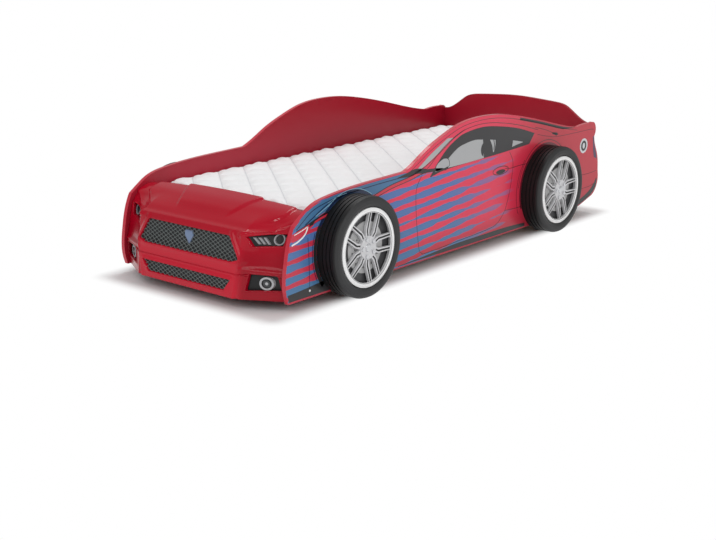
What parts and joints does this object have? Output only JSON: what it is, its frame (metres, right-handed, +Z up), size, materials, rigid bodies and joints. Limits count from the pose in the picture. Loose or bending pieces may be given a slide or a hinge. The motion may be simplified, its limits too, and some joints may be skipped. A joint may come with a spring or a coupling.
{
  "type": "car bed for children",
  "caption": "Child's bed shaped like a sports car: shaped side and rear boards, moulded nose, four moulded wheels, slatted base and a quilted foam mattress that lifts out.",
  "frame": {"origin": "on the floor, under the middle of the overall width and length", "axes": "+X to the car's left side, -Y out of the nose, +Z up"},
  "size_m": [1.012, 2.133, 0.5435],
  "materials": {
    "black_board": "black fibreboard, matt",
    "black_plastic": "moulded black",
    "disc_grey": "grey moulding",
    "edge_band": "red edge strip, satin",
    "foam": "open foam",
    "pine": "planed pine",
    "printed_board": "printed and lacquered fibreboard, satin",
    "quilt": "white quilted knit",
    "red_board": "red faced fibreboard, satin",
    "red_gloss": "deep red moulded sheet, glossy",
    "silver_plastic": "silver lacquered moulding",
    "steel": "bright plated",
    "tyre_plastic": "moulded black, fine texture",
    "white_ring": "white moulding",
    "zinc": "die cast"
  },
  "bodies": {
    "bed": {"badge_blank": "silver_plastic", "beam_angles": "steel", "brake_disc_front_left": "disc_grey", "brake_disc_front_right": "disc_grey", "brake_disc_rear_left": "disc_grey", "brake_disc_rear_right": "disc_grey", "bumper_screws": "steel", "bumper_shell": "red_gloss", "cam_bolts": "steel", "cam_locks": "zinc", "centre_beam": "pine", "centre_caps": "silver_plastic", "centre_legs": "pine", "edge_band_left": "edge_band", "edge_band_right": "edge_band", "floor_glides": "black_plastic", "fog_lamps": "silver_plastic", "fog_pod_left": "black_plastic", "fog_pod_right": "black_plastic", "foot_board": "red_board", "frame_screws": "steel", "grille_mesh_lower": "black_plastic", "grille_mesh_upper": "black_plastic", "headlamp_bars": "silver_plastic", "headlamp_rings": "silver_plastic", "headlamp_tray_left": "black_plastic", "headlamp_tray_right": "black_plastic", "ledger_left": "pine", "ledger_right": "pine", "leg_posts": "pine", "lug_bolts": "steel", "rear_panel": "red_board", "rim_front_left": "silver_plastic", "rim_front_right": "silver_plastic", "rim_rear_left": "silver_plastic", "rim_rear_right": "silver_plastic", "side_panel_left": "printed_board", "side_panel_right": "printed_board", "slat_screws": "steel", "slats": "pine", "trim_ring_front_left": "white_ring", "trim_ring_front_right": "white_ring", "trim_ring_rear_left": "white_ring", "trim_ring_rear_right": "white_ring", "tyre_front_left": "tyre_plastic", "tyre_front_right": "tyre_plastic", "tyre_rear_left": "tyre_plastic", "tyre_rear_right": "tyre_plastic", "wheel_disc_front_left": "black_board", "wheel_disc_front_right": "black_board", "wheel_disc_rear_left": "black_board", "wheel_disc_rear_right": "black_board", "wheel_screws": "steel", "wood_dowels": "pine"},
    "mattress": {"mattress_core": "foam", "mattress_cover": "quilt"}
  },
  "joints": [
    {"name": "mattress_lift", "type": "slide", "parent": "bed", "child": "mattress", "axis": [0, 0, 1], "range_m": [0, 0.45]}
  ]
}
